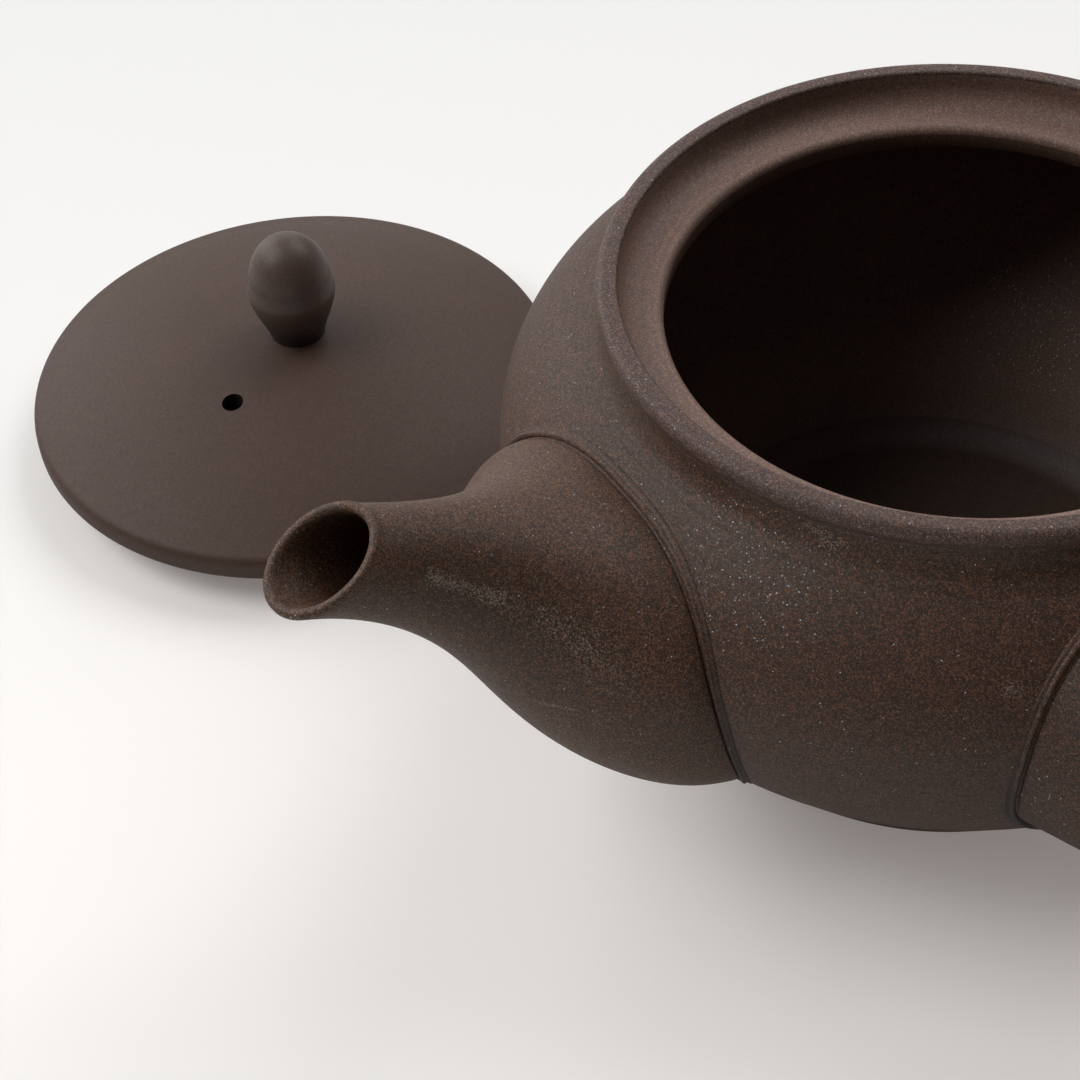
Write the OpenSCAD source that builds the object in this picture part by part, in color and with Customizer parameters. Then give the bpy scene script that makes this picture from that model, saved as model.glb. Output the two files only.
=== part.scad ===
// Side-handled teapot of unglazed dark clay, with its lid set down beside it.
// Millimetres. The origin is the centre of the base, +Z is up and +X runs along the spout.
// The pot is turned on a wheel. The spout, the handle and the strainer are made apart,
// cut to the curve of the body and joined on with a bead of soft clay.

/* [Body] */
// Radius of the body at its widest
body_r = 50.6; // [46:0.1:56]
// Height of the widest part above the base
belly_z = 37; // [34:0.5:40]
// How far the shoulder's curve rises above the widest part
shoulder_h = 25.9; // [24:0.1:28]
// How far the belly's curve drops below the widest part
belly_h = 36.7; // [34:0.1:40]
// Radius of the flat base
base_r = 30; // [26:0.5:34]
// Bevel round the edge of the base
base_bevel = 0.8; // [0.3:0.1:1.5]
// Wall of the body
wall = 2.8; // [2:0.1:3.4]
// Thickness of the floor
floor_t = 5.5; // [3:0.5:7]
// Wall of the body round the edge of the floor inside, measured flat
foot_wall = 3.6; // [3:0.1:6]

/* [Rim] */
// Radius of the throat that the lid's flange goes into
throat_r = 32; // [30:0.1:33]
// Rounding of the throat's upper edge
throat_round = 1; // [0.4:0.1:1.4]
// Height of the seat that the lid rests on
seat_z = 54; // [53:0.1:56]
// Thickness of the ledge under the seat
ledge_t = 3; // [2.2:0.1:3.6]
// Hollow curve between the seat and the lip
seat_cove = 2.7; // [1.8:0.1:2.9]
// Height of the lip above the seat
lip_h = 4.4; // [4:0.1:6]
// Outer radius of the lip
lip_r = 39.3; // [38.6:0.1:40.5]
// Thickness of the lip
lip_t = 2.4; // [1.8:0.1:2.6]
// Rounding of the lip's outer edge
lip_round = 1.1; // [0.6:0.1:1.3]
// Rounding of the lip's inner edge
lip_edge = 0.4; // [0.2:0.1:0.5]
// Radius of the neck under the lip
neck_r = 38.9; // [38.2:0.1:39.3]
// Radius where the neck's hollow meets the shoulder
neck_foot_r = 40.6; // [40:0.1:42]

/* [Spout] */
// Height of the middle of the spout's root
spout_root_z = 31.3; // [30:0.1:32]
// Half the height of the root
spout_root_h = 18.7; // [16:0.1:19]
// Half the width of the root
spout_root_w = 21.8; // [18:0.1:24]
// Distance from the pot's axis to the middle of the spout's mouth
spout_reach = 77.3; // [74:0.1:84]
// Height of the middle of the mouth
spout_tip_z = 59.1; // [54:0.1:62]
// Length of the slanted mouth
mouth_l = 13.3; // [11:0.1:15]
// Width of the mouth
mouth_w = 11.2; // [10:0.1:13]
// Slant of the mouth, falling outwards
mouth_slope = 27.6; // [15:0.1:45]
// Upward slope of the spout at its mouth
spout_slope = 27.6; // [15:0.1:40]
// Wall of the spout at its root
spout_root_wall = 3; // [2.4:0.1:3.6]
// Wall of the spout at its mouth
spout_tip_wall = 1.3; // [1.1:0.1:2]
// Radius of the hole through the body's wall behind the spout
pour_hole_r = 9; // [6:0.5:10]

/* [Handle] */
// Angle from the spout round to the handle
handle_angle = 85; // [80:1:95]
// Height of the middle of the handle's root
handle_root_z = 35; // [33:0.1:35.4]
// Half the height of the root
handle_root_h = 16.6; // [15:0.1:17]
// Half the width of the root
handle_root_w = 21.4; // [18:0.1:24]
// Distance from the pot's axis to the handle's open end
handle_reach = 120; // [105:1:135]
// Height of the middle of the open end
handle_end_z = 51; // [42:0.5:58]
// Radius of the open end
handle_end_r = 12.5; // [10:0.1:15]
// Upward slope of the handle at its open end
handle_slope = 16; // [5:1:25]
// Wall of the handle at its root
handle_root_wall = 3; // [2.4:0.1:3.6]
// Wall of the handle at its open end
handle_end_wall = 2.6; // [2:0.1:3.4]

/* [Seam beads] */
// Width of the bead of clay round each root
bead_w = 0.9; // [0.8:0.1:2.2]
// How far the bead stands out of the body
bead_h = 0.35; // [0.25:0.05:0.8]
// Joint left between a fitted piece and the body
slip = 0.1; // [0.08:0.01:0.15]

/* [Strainer] */
// Outer radius of the strainer's dome
dome_r = 15; // [13:0.1:17]
// Distance from the pot's axis to the dome's middle
dome_x = 45; // [43:0.1:46]
// Thickness of the dome
dome_t = 2; // [1.6:0.1:2.4]
// Radius of each hole in the dome
dome_hole_r = 0.9; // [0.6:0.05:1]
// Rings of holes round the middle one
dome_rings = 3; // [2:1:3]
// Angle between the rings of holes
dome_pitch = 15; // [13:0.5:16]

/* [Lid] */
// Radius of the lid
lid_r = 35.6; // [35:0.1:36.2]
// Thickness of the lid's edge
lid_edge_t = 4.2; // [3:0.1:4.4]
// Rounding of the lid's edge
lid_edge_round = 1.6; // [0.8:0.1:2]
// Rise of the lid's dome above its edge
lid_dome_h = 7.3; // [4:0.1:9]
// Thickness of the lid under the knob
lid_t = 3.2; // [2.6:0.1:3.8]
// Play between the lid's flange and the throat
flange_play = 0.8; // [0.4:0.1:1.2]
// Thickness of the flange
flange_t = 2.6; // [2:0.1:3.2]
// Depth of the flange
flange_h = 4; // [3:0.1:6]
// Radius of the steam hole
vent_r = 1.5; // [1:0.1:2]
// Distance from the lid's middle to the steam hole
vent_offset = 14; // [10:0.1:18]
// Direction of the steam hole from the lid's middle
vent_angle = 31.4; // [0:0.5:360]

/* [Knob] */
// Radius of the knob at its foot
knob_foot_r = 3.6; // [3:0.1:4.4]
// Radius of the knob at its widest
knob_r = 5.8; // [5:0.1:7]
// Height of the widest part above the knob's foot
knob_waist_h = 7.4; // [5.5:0.1:9]
// Height of the rounded top above the widest part
knob_top_h = 8.2; // [7:0.1:11]
// Bevel along the ridge at the widest part
knob_ridge = 0.25; // [0.15:0.05:0.8]
// How far the hand-set knob stands off the lid's middle
knob_offset = 1.4; // [0:0.1:1.8]
// Direction in which it stands off
knob_angle = 165; // [0:5:360]

/* [Lid set down beside the pot] */
// Distance from the pot's axis to the lid's middle
lid_distance = 92.3; // [91:0.1:110]
// Direction of the lid from the pot's axis
lid_angle = -60; // [-70:1:-50]

/* [Hidden] */
$fn = 96;

clay = [0.30, 0.25, 0.22];
bead_clay = [0.35, 0.29, 0.26];
lid_clay = [0.35, 0.30, 0.27];

arc_steps = 6;       // steps in a short arc
curve_steps = 22;    // steps in a long curve
curve_start = 2;     // degrees past the widest part at which the next curve starts
ring_points = 36;    // points round a horn
horn_steps = 18;     // rings along a horn
bead_points = 56;    // points round a seam bead
root_round = 2.3;    // 2 is an ellipse, and more is squarer
overcut = 1;         // how far a cutter stands out of what it cuts

// Pulls of the curves along the spout and the handle, each a length and an angle
spout_top_pull = [2.8, 21];
spout_low_pull = [30, 16];
spout_back_pull = 21;
spout_front_pull = 31;
spout_swell = 0.3;       // how much the half width grows past the root
spout_neck_in = 2.2;     // how much the half width drops before the mouth
handle_top_pull = [12, -20];
handle_low_pull = [24.4, 18.3];
handle_end_pull = 36;
handle_top_rise = 4;     // extra slope of the top line at the open end
handle_low_rise = -6;    // and of the low line
handle_root_in = 5.8;    // how much the half width drops past the root
handle_neck_in = 5.8;    // how much the half width drops before the open end

lip_z = seat_z + lip_h;
inner_r = body_r - wall;

// Points of an elliptical arc, its half axes a and b, round [cx, cz]
function arc(cx, cz, a, b, from, to, steps) =
    [for (i = [0:steps]) let (t = from + (to - from) * i / steps) [cx + a * cos(t), cz + b * sin(t)]];

// Angle at which the line from [r, z] below touches the ellipse of half axes a and b round [0, cz]
function touch_angle(r, z, a, b, cz) =
    let (v = [r / a, (z - cz) / b]) atan2(v[1], v[0]) + acos(1 / norm(v));

flank_angle = touch_angle(base_r, 0, body_r, belly_h, belly_z);
flank_r = body_r * cos(flank_angle);
flank_z = belly_z + belly_h * sin(flank_angle);

// The neck's hollow starts on the shoulder and ends upright
neck_angle = acos(neck_foot_r / body_r);
neck_foot_z = belly_z + shoulder_h * sin(neck_angle);
neck_lean = atan2(shoulder_h * cos(neck_angle), body_r * sin(neck_angle));
neck_cove = (neck_foot_r - neck_r) / (1 - sin(neck_lean));
neck_top_z = neck_foot_z + neck_cove * cos(neck_lean);

// Outer radius of the body at height z, and how fast it grows with height
function body_radius(z) =
    z > neck_top_z ? neck_r
    : z > neck_foot_z ? neck_r + neck_cove - sqrt(pow(neck_cove, 2) - pow(neck_top_z - z, 2))
    : z > belly_z ? body_r * sqrt(1 - pow((z - belly_z) / shoulder_h, 2))
    : z > flank_z ? body_r * sqrt(1 - pow((belly_z - z) / belly_h, 2))
    : base_r + (flank_r - base_r) * z / flank_z;
growth_step = 0.05;
function body_growth(z) =
    (body_radius(z + growth_step) - body_radius(z - growth_step)) / (2 * growth_step);

// Outside of the body, from the base up to the lip
function outside() = concat(
    [[0, 0], [base_r - base_bevel, 0], [base_r + base_bevel * (flank_r - base_r) / flank_z, base_bevel]],
    arc(0, belly_z, body_r, belly_h, flank_angle, 0, curve_steps),
    arc(0, belly_z, body_r, shoulder_h, curve_start, neck_angle, curve_steps),
    arc(neck_r + neck_cove, neck_top_z, neck_cove, neck_cove, 180 + 90 - neck_lean, 180, arc_steps),
    arc(lip_r - lip_round, lip_z - lip_round, lip_round, lip_round, 0, 90, arc_steps)
);

// Seat and throat, from the lip down to the ledge's underside
lip_inner_r = lip_r - lip_t;
function seat() = concat(
    arc(lip_inner_r + lip_edge, lip_z - lip_edge, lip_edge, lip_edge, 90, 180, arc_steps),
    arc(lip_inner_r - seat_cove, seat_z + seat_cove, seat_cove, seat_cove, 0, -90, arc_steps),
    arc(throat_r + throat_round, seat_z - throat_round, throat_round, throat_round, 90, 180, arc_steps),
    [[throat_r, seat_z - ledge_t]]
);

// Inside of the body, from under the ledge down to the floor, drawn in by a further gap
ledge_angle = asin((seat_z - ledge_t - belly_z) / (shoulder_h - wall));
floor_r = body_radius(floor_t) - foot_wall;
inner_flank_angle = touch_angle(floor_r, floor_t, inner_r, belly_h - wall, belly_z);
function inside(gap) = concat(
    arc(0, belly_z, inner_r - gap, shoulder_h - wall - gap, ledge_angle, curve_start, curve_steps),
    arc(0, belly_z, inner_r - gap, belly_h - wall - gap, 0, inner_flank_angle, curve_steps),
    [[floor_r - gap, floor_t + gap], [0, floor_t + gap]]
);

module pot_body() {
    color(clay) difference() {
        rotate_extrude() polygon(concat(outside(), seat(), inside(0)));
        translate([inner_r / 2, 0, spout_root_z])
            rotate([0, 90, 0]) cylinder(r = pour_hole_r, h = body_r);
    }
}

// Perforated dome over the pouring hole, cut to the curve of the wall behind it
module strainer() {
    color(clay) difference() {
        intersection() {
            translate([dome_x, 0, spout_root_z]) sphere(r = dome_r);
            rotate_extrude() polygon(concat(inside(slip), [[0, seat_z - ledge_t]]));
        }
        translate([dome_x, 0, spout_root_z]) sphere(r = dome_r - dome_t);
        for (ring = [0:dome_rings]) {
            count = max(1, 6 * ring);
            for (i = [0:count - 1])
                translate([dome_x, 0, spout_root_z])
                    rotate([i * 360 / count, 0, 0]) rotate([0, ring * dome_pitch - 90, 0])
                        translate([0, 0, dome_r - dome_t - overcut])
                            cylinder(r = dome_hole_r, h = dome_t + 2 * overcut);
        }
    }
}

function bezier(p, s) =
    pow(1 - s, 3) * p[0] + 3 * s * pow(1 - s, 2) * p[1] + 3 * s * s * (1 - s) * p[2] + pow(s, 3) * p[3];
function polar(length, angle) = length * [cos(angle), sin(angle)];
function rounded(value, n) = sign(value) * pow(abs(value), 2 / n);

// A horn is the hollow flared piece that both the spout and the handle are.
// It is given as [top line, low line, half widths, wall at the root, wall at the tip],
// the lines as curves of [distance from the pot's axis, height].
// Point of a horn at share s of its length and angle t round it, drawn in by inset.
function flat_point(horn, inset, s, t) =
    let (
        top = bezier(horn[0], s),
        low = bezier(horn[1], s),
        half = norm(top - low) / 2,
        n = 2 + (root_round - 2) * pow(1 - s, 2),
        p = (top + low) / 2 + (top - low) / 2 * (1 - inset / half) * rounded(sin(t), n)
    )
    [p[0], (bezier(horn[2], s) - inset) * rounded(cos(t), n), p[1]];
function on_body(y, z) = sqrt(pow(body_radius(z), 2) - y * y) + slip;
function horn_point(horn, inset, s, t) =
    let (p = flat_point(horn, inset, s, t), root = flat_point(horn, inset, 0, t))
    [p[0] + (on_body(root[1], root[2]) - root[0]) * pow(1 - s, 2), p[1], p[2]];
function horn_wall(horn, s) = horn[3] + (horn[4] - horn[3]) * s;

// Rings of one closed skin: outside to the tip, round its lip, and back inside
function horn_ring(horn, inset, s, rise) =
    let (axis = (bezier(horn[0], 1) - bezier(horn[1], 1)), out = [axis[1], -axis[0]] / norm(axis))
    [for (i = [0:ring_points - 1])
        horn_point(horn, inset, s, i * 360 / ring_points) + rise * [abs(out[0]), 0, abs(out[1])]];
function horn_rings(horn) = concat(
    [for (i = [0:horn_steps]) horn_ring(horn, 0, i / horn_steps, 0)],
    [for (a = [45, 90, 135])
        horn_ring(horn, horn[4] / 2 * (1 - cos(a)), 1, horn[4] / 2 * sin(a))],
    [for (i = [horn_steps:-1:0]) horn_ring(horn, horn_wall(horn, i / horn_steps), i / horn_steps, 0)]
);

// Closed skin through rings of equal length, the last ring joined to the first
module ring_skin(rings) {
    count = len(rings);
    size = len(rings[0]);
    polyhedron(
        points = [for (ring = rings) for (p = ring) p],
        faces = [for (i = [0:count - 1]) for (j = [0:size - 1]) for (half = [0, 1])
            let (
                k = (i + 1) % count, m = (j + 1) % size,
                a = i * size + j, b = i * size + m, c = k * size + m, d = k * size + j
            )
            half == 0 ? [c, b, a] : [d, c, a]]
    );
}

// Bead of clay round a root, half round, its foot on the body's curve
function bead_point(z, half_h, half_w, out, rise, t) =
    let (
        y = (half_w + out) * rounded(cos(t), root_round),
        h = z + (half_h + out) * rounded(sin(t), root_round),
        x = on_body(y, h),
        level = norm([x, y]),
        lift = rise / norm([1, body_growth(h)])
    )
    [x + lift * x / level, y + lift * y / level, h - lift * body_growth(h)];
module seam_bead(z, half_h, half_w) {
    profile = [for (a = [0:30:180]) [slip + bead_w * (1 - cos(a)) / 2, bead_h * sin(a)]];
    ring_skin([for (i = [0:bead_points - 1])
        [for (q = profile) bead_point(z, half_h, half_w, q[0], q[1], i * 360 / bead_points)]]);
}

// Root ends and mouth ends of a horn's two lines
function root_end(z) = [body_radius(z), z];
mouth_mid = [spout_reach, spout_tip_z];
mouth_back = mouth_mid + polar(mouth_l / 2, 180 - mouth_slope);
mouth_front = mouth_mid - polar(mouth_l / 2, 180 - mouth_slope);
spout_top = root_end(spout_root_z + spout_root_h);
spout_low = root_end(spout_root_z - spout_root_h);
spout_horn = [
    [spout_top, spout_top + polar(spout_top_pull[0], spout_top_pull[1]),
        mouth_back - polar(spout_back_pull, spout_slope), mouth_back],
    [spout_low, spout_low + polar(spout_low_pull[0], spout_low_pull[1]),
        mouth_front - polar(spout_front_pull, spout_slope), mouth_front],
    [spout_root_w, spout_root_w + spout_swell, mouth_w / 2 - spout_neck_in, mouth_w / 2],
    spout_root_wall, spout_tip_wall
];

handle_end = [handle_reach, handle_end_z];
handle_end_top = handle_end + polar(handle_end_r, 90 + handle_slope);
handle_end_low = handle_end - polar(handle_end_r, 90 + handle_slope);
handle_top = root_end(handle_root_z + handle_root_h);
handle_low = root_end(handle_root_z - handle_root_h);
handle_horn = [
    [handle_top, handle_top + polar(handle_top_pull[0], handle_top_pull[1]),
        handle_end_top - polar(handle_end_pull, handle_slope + handle_top_rise), handle_end_top],
    [handle_low, handle_low + polar(handle_low_pull[0], handle_low_pull[1]),
        handle_end_low - polar(handle_end_pull, handle_slope + handle_low_rise), handle_end_low],
    [handle_root_w, handle_root_w - handle_root_in, handle_end_r - handle_neck_in, handle_end_r],
    handle_root_wall, handle_end_wall
];

module spout() {
    color(clay) ring_skin(horn_rings(spout_horn));
}

module handle() {
    color(clay) rotate([0, 0, handle_angle]) ring_skin(horn_rings(handle_horn));
}

module spout_seam_bead() {
    color(bead_clay) seam_bead(spout_root_z, spout_root_h, spout_root_w);
}

module handle_seam_bead() {
    color(bead_clay) rotate([0, 0, handle_angle])
        seam_bead(handle_root_z, handle_root_h, handle_root_w);
}

// The lid stands on its flange where it was set down
flange_r = throat_r - flange_play;
flange_inner_r = flange_r - flange_t;
lid_top_z = flange_h + lid_edge_t + lid_dome_h;
cap_r = lid_r - lid_edge_round;
cap_sphere_r = (cap_r * cap_r + lid_dome_h * lid_dome_h) / (2 * lid_dome_h);
lid_edge_lean = asin(cap_r / cap_sphere_r);
flange_step = 1;     // how far inside the flange the lid's hollow starts
// Height of the lid's upper face at distance r from its middle
function lid_face_z(r) = lid_top_z - cap_sphere_r + sqrt(cap_sphere_r * cap_sphere_r - r * r);
// The lid is flat under the knob, wherever on it the knob was set
pad_r = knob_foot_r + knob_offset;
knob_z = lid_face_z(pad_r);

module lid_place() {
    rotate([0, 0, lid_angle]) translate([lid_distance, 0, 0]) rotate([0, 0, -lid_angle]) children();
}

function lid_curve(from, to, drop) =
    [for (i = [0:curve_steps])
        let (r = from + (to - from) * i / curve_steps) [r, lid_face_z(r) - drop]];

module lid_plate() {
    color(lid_clay) lid_place() difference() {
        rotate_extrude() polygon(concat(
            lid_curve(0, flange_inner_r - flange_step, lid_t),
            [[flange_inner_r, flange_h]],
            arc(lid_r - lid_edge_round, flange_h + lid_edge_round,
                lid_edge_round, lid_edge_round, -90, 0, arc_steps),
            arc(lid_r - lid_edge_round, flange_h + lid_edge_t - lid_edge_round,
                lid_edge_round, lid_edge_round, 0, 90 - lid_edge_lean, arc_steps),
            lid_curve(cap_r, pad_r, 0),
            [[0, knob_z]]
        ));
        rotate([0, 0, vent_angle]) translate([vent_offset, 0, 0])
            cylinder(r = vent_r, h = lid_top_z + overcut);
    }
}

module lid_flange() {
    color(lid_clay) lid_place() rotate_extrude()
        translate([flange_inner_r, 0]) square([flange_t, flange_h]);
}

// Side of the knob, from its foot out to the ridge round its widest part
knob_flare = 0.22;   // share of the widening at the curve's lower handle
knob_low = 0.34;     // share of the height at the lower handle
knob_full = 0.91;    // share of the widening at the upper handle
knob_high = 0.62;    // share of the height at the upper handle
knob_widening = knob_r - knob_foot_r;
knob_side = [
    [knob_foot_r, 0], [knob_foot_r + knob_flare * knob_widening, knob_low * knob_waist_h],
    [knob_foot_r + knob_full * knob_widening, knob_high * knob_waist_h], [knob_r, knob_waist_h]
];
module lid_knob() {
    color(lid_clay) lid_place() rotate([0, 0, knob_angle]) translate([knob_offset, 0, knob_z])
        rotate_extrude() polygon(concat(
            [[0, 0]],
            [for (i = [0:curve_steps]) bezier(knob_side, i / curve_steps)],
            arc(0, knob_waist_h + knob_ridge, knob_r - knob_ridge, knob_top_h - knob_ridge,
                0, 90, curve_steps)
        ));
}

pot_body();
strainer();
spout();
spout_seam_bead();
handle();
handle_seam_bead();
lid_plate();
lid_flange();
lid_knob();
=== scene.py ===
"""Side-handled teapot of unglazed dark clay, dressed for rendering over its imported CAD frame.

Sizes in the classes are in millimetres in the row's frame: the origin is the centre of the base,
+Z is up and +X runs along the spout. Meshes are made in metres.
"""

import logging
import math
from dataclasses import dataclass
from enum import Enum
from functools import partial
from typing import Any, Callable, Sequence

import bmesh
import bpy
import numpy as np
from mathutils import Matrix, Vector


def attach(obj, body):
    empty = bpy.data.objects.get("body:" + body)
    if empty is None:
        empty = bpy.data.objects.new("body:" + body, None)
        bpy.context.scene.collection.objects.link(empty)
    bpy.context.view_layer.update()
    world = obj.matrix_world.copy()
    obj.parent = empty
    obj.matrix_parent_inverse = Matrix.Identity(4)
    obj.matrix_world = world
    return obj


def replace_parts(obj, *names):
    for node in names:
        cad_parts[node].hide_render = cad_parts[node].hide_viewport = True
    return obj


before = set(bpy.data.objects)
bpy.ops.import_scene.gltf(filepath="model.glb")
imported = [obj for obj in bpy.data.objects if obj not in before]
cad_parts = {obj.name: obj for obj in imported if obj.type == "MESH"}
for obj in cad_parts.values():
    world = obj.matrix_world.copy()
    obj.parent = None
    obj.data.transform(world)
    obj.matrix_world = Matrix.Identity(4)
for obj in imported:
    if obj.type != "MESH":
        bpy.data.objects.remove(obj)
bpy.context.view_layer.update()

LOG = logging.getLogger("teapot")
MM = 0.001
ON_AXIS = 1e-6  # radius under which a turned point lies on the axis, in millimetres
WELD_MM = 0.002  # points of a skin that lie nearer together become one
HOLE_EDGE_ANGLE = 50  # degrees between two faces from which their edge is drawn hard

Pair = tuple[float, float]
Triple = tuple[float, float, float]
Array = np.ndarray
Profile = list[Pair]
Add = Callable[..., Any]  # add_node for one tree
Socket = bpy.types.NodeSocket
Material = bpy.types.Material
Piece = bpy.types.Object


def linear(hex_colour: str) -> tuple[float, float, float, float]:
    """Turns an sRGB hex colour into linear RGBA.

    Args:
        hex_colour: six hex digits, such as "4a3c36".

    Returns:
        Red, green, blue and an alpha of 1, all linear.
    """
    values = [int(hex_colour[i : i + 2], 16) / 255 for i in (0, 2, 4)]
    red, green, blue = (
        v / 12.92 if v <= 0.04045 else ((v + 0.055) / 1.055) ** 2.4 for v in values
    )
    return red, green, blue, 1.0


def add_node(tree: bpy.types.NodeTree, kind: str, inputs: Any = (), **settings: Any) -> Any:
    """Adds a node with its settings, its input values and its links.

    Args:
        tree: the node tree that gets the node.
        kind: the node's type name, without the leading "ShaderNode".
        inputs: for each input a value or the output socket to link from, either in the inputs'
            order or in a dict under their names or numbers.
        settings: attributes of the node.

    Returns:
        The new node's outputs.
    """
    node = tree.nodes.new("ShaderNode" + kind)
    for name, value in settings.items():
        setattr(node, name, value)
    for key, value in inputs.items() if isinstance(inputs, dict) else enumerate(inputs):
        if isinstance(value, Socket):
            tree.links.new(value, node.inputs[key])
        else:
            node.inputs[key].default_value = value
    return node.outputs


def emptied(owner: Any) -> Add:
    """Empties the node tree of a new material or world.

    Args:
        owner: the material or world.

    Returns:
        add_node for its tree.
    """
    owner.use_nodes = True
    owner.node_tree.nodes.clear()
    return partial(add_node, owner.node_tree)


def add_object(name: str, data: Any) -> Piece:
    """Adds an object to the scene.

    Args:
        name: the object's name.
        data: its mesh, light or camera.

    Returns:
        The new object.
    """
    piece = bpy.data.objects.new(name, data)
    bpy.context.scene.collection.objects.link(piece)
    return piece


class Turning(Enum):
    """Which way the lines of the potter's wheel run over a piece."""

    ROUND_THE_WALL = "height"
    ROUND_THE_LID = "radius"
    NONE = "none"


@dataclass(frozen=True)
class Rub:
    """A pale mark where the fired clay was scuffed, along a line from start to end."""

    start: Triple
    end: Triple
    half_width: float
    strength: float
    most: float = 0.5  # share of the grains that hold dust at the middle of the mark
    colour: str = "a39389"


@dataclass(frozen=True)
class UnglazedClay:
    """Stoneware fired without a glaze: matt, sandy, with mineral grains at its surface.

    The eye sees a dark brown ground of tight grains about an eighth of a millimetre across,
    some rusty and some blue-grey, with small specks of mica whose glints are painted bright.
    """

    name: str  # how its surface was made
    ground: str = "4b3223"  # what the grains add up to from afar
    rust: Triple = (1.12, 0.99, 0.88)  # a rusty grain's share of the ground, for each channel
    grey: Triple = (0.88, 1.12, 1.55)  # a blue-grey grain's
    rust_part: float = 0.4  # how many of the grains are rusty
    grey_part: float = 0.25
    grain_mm: float = 0.12
    grain_strength: float = 1.0
    tone_spread: float = 0.62  # how far the darkest grains' tone lies under the middle
    cloud_mm: float = 26.0  # size of the kiln's slow changes of tone
    cloud_spread: float = 0.06
    painted_shade_tone: float = 1.0  # painted shade: how much darker the colour is painted lower down, 1 is as above
    # Heights over which the painted shade fades out, from full to none
    low_z: Pair = (16.0, 48.0)
    # Mica specks, their glints painted in this pale colour
    mica_glint_colour: str = "dde7f3"
    speck_mm: float = 0.37  # spacing of the bright specks
    speck_share: float = 0.07  # how many of the places for a speck hold one
    speck_reach: Pair = (0.24, 0.12)  # where a speck fades, in spacings
    speck_most: float = 0.95
    speck_power: float = 1.8  # painted glints: the higher, the fewer of the specks are painted bright
    # Painted glints: a patch where many specks are painted bright, placed where the highlight
    # falls
    painted_glint_at: Triple = (0.0, 0.0, 0.0)
    painted_glint_mm: float = 0.0  # radius of the patch of painted glints, where the highlight falls
    painted_glint_share: float = 0.9
    painted_glint_core: float = 0.3  # share of the radius over which the patch is full
    roughness: float = 0.62
    roughness_spread: float = 0.07
    ior: float = 1.5
    sand_mm: float = 0.5  # the skin's sandy unevenness, this size and finer
    grain_depth_mm: float = 0.02
    turning: Turning = Turning.NONE
    turning_mm: float = 0.45  # spacing of the wheel's lines
    turning_depth_mm: float = 0.014
    line_mm: float = 24.0  # how long such a line runs on
    axis_mm: Pair = (0.0, 0.0)
    rubs: tuple[Rub, ...] = ()

    def make(self) -> Material:
        """Builds the material.

        Returns:
            The new material, its patterns in the row's own coordinates.
        """
        material = bpy.data.materials.new("unglazed_clay_" + self.name)
        add = emptied(material)
        place = add("TexCoord")["Object"]
        fine = add(
            "TexNoise",
            {"Vector": place, "Scale": 1 / (self.sand_mm * MM), "Detail": 4.0, "Roughness": 0.7},
        )["Fac"]
        _, pick = self._cells(add, place, self.grain_mm)
        colour = self._grains(add, place, pick)
        layers = [(self._rubbed(add, place, pick, rub), rub.colour) for rub in self.rubs]
        layers.append((self._specked(add, place), self.mica_glint_colour))
        for share, over in layers:
            colour = add(
                "Mix", {"Factor": share, "A": colour, "B": linear(over)}, data_type="RGBA"
            )["Result"]

        height = add("Math", (fine, self.grain_depth_mm), operation="MULTIPLY")[0]
        if self.turning is not Turning.NONE:
            lines = self._wheel_lines(add, place)
            height = add("Math", (lines, height), operation="ADD")[0]
        bump = add("Bump", {"Height": height, "Distance": MM, "Strength": 1.0})[0]
        smooth = self.roughness - self.roughness_spread
        rough = self.roughness + self.roughness_spread
        shader = add(
            "BsdfPrincipled",
            {
                "Base Color": colour, "Normal": bump, "IOR": self.ior,
                "Roughness": add("MapRange", (fine, 0.3, 0.7, smooth, rough))[0],
            },
        )[0]
        add("OutputMaterial", {"Surface": shader})
        return material

    @property
    def _plain_ground(self) -> Triple:
        """The ground between the grains, so that all together give the named colour.

        Returns:
            Red, green and blue, linear.
        """
        plain = 1 - self.rust_part - self.grey_part
        whole = (
            plain + self.rust_part * rust + self.grey_part * grey
            for rust, grey in zip(self._weak(self.rust), self._weak(self.grey))
        )
        red, green, blue = (c / w for c, w in zip(linear(self.ground)[:3], whole))
        return red, green, blue

    def _weak(self, shares: Triple) -> Triple:
        """A grain's shares of the ground, as strong as the grain is in this finish."""
        red, green, blue = (1 + self.grain_strength * (v - 1) for v in shares)
        return red, green, blue

    def _cells(self, add: Add, place: Socket, size_mm: float) -> tuple[Any, Any]:
        """Divides the skin into irregular cells.

        Args:
            add: adds a node to the material.
            place: the place on the skin.
            size_mm: a cell's size.

        Returns:
            The pattern's outputs, and three random numbers of each cell.
        """
        cells = add("TexVoronoi", {"Vector": place, "Scale": 1 / (size_mm * MM)})
        return cells, add("SeparateColor", (cells["Color"],))

    def _grains(self, add: Add, place: Socket, pick: Any) -> Socket:
        """Lays the tight grains, most a little dark and few bright, some rusty or grey.

        Args:
            add: adds a node to the material.
            place: the place on the skin.
            pick: random numbers of each grain.

        Returns:
            The colour.
        """
        cloud = add(
            "TexNoise", {"Vector": place, "Scale": 1 / (self.cloud_mm * MM), "Detail": 3.0}
        )["Fac"]
        spread = self.cloud_spread
        tone = add("MapRange", (cloud, 0.35, 0.65, 1 - spread, 1 + spread))[0]
        # Painted shade: the colour is darkened towards the bottom of low_z's range
        if self.painted_shade_tone < 1:
            height = add("SeparateXYZ", (place,))["Z"]
            low, high = (z * MM for z in self.low_z)
            slip = add("MapRange", (height, low, high, self.painted_shade_tone, 1.0))[0]
            tone = add("Math", (tone, slip), operation="MULTIPLY")[0]
        spread = self.tone_spread * self.grain_strength
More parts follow.
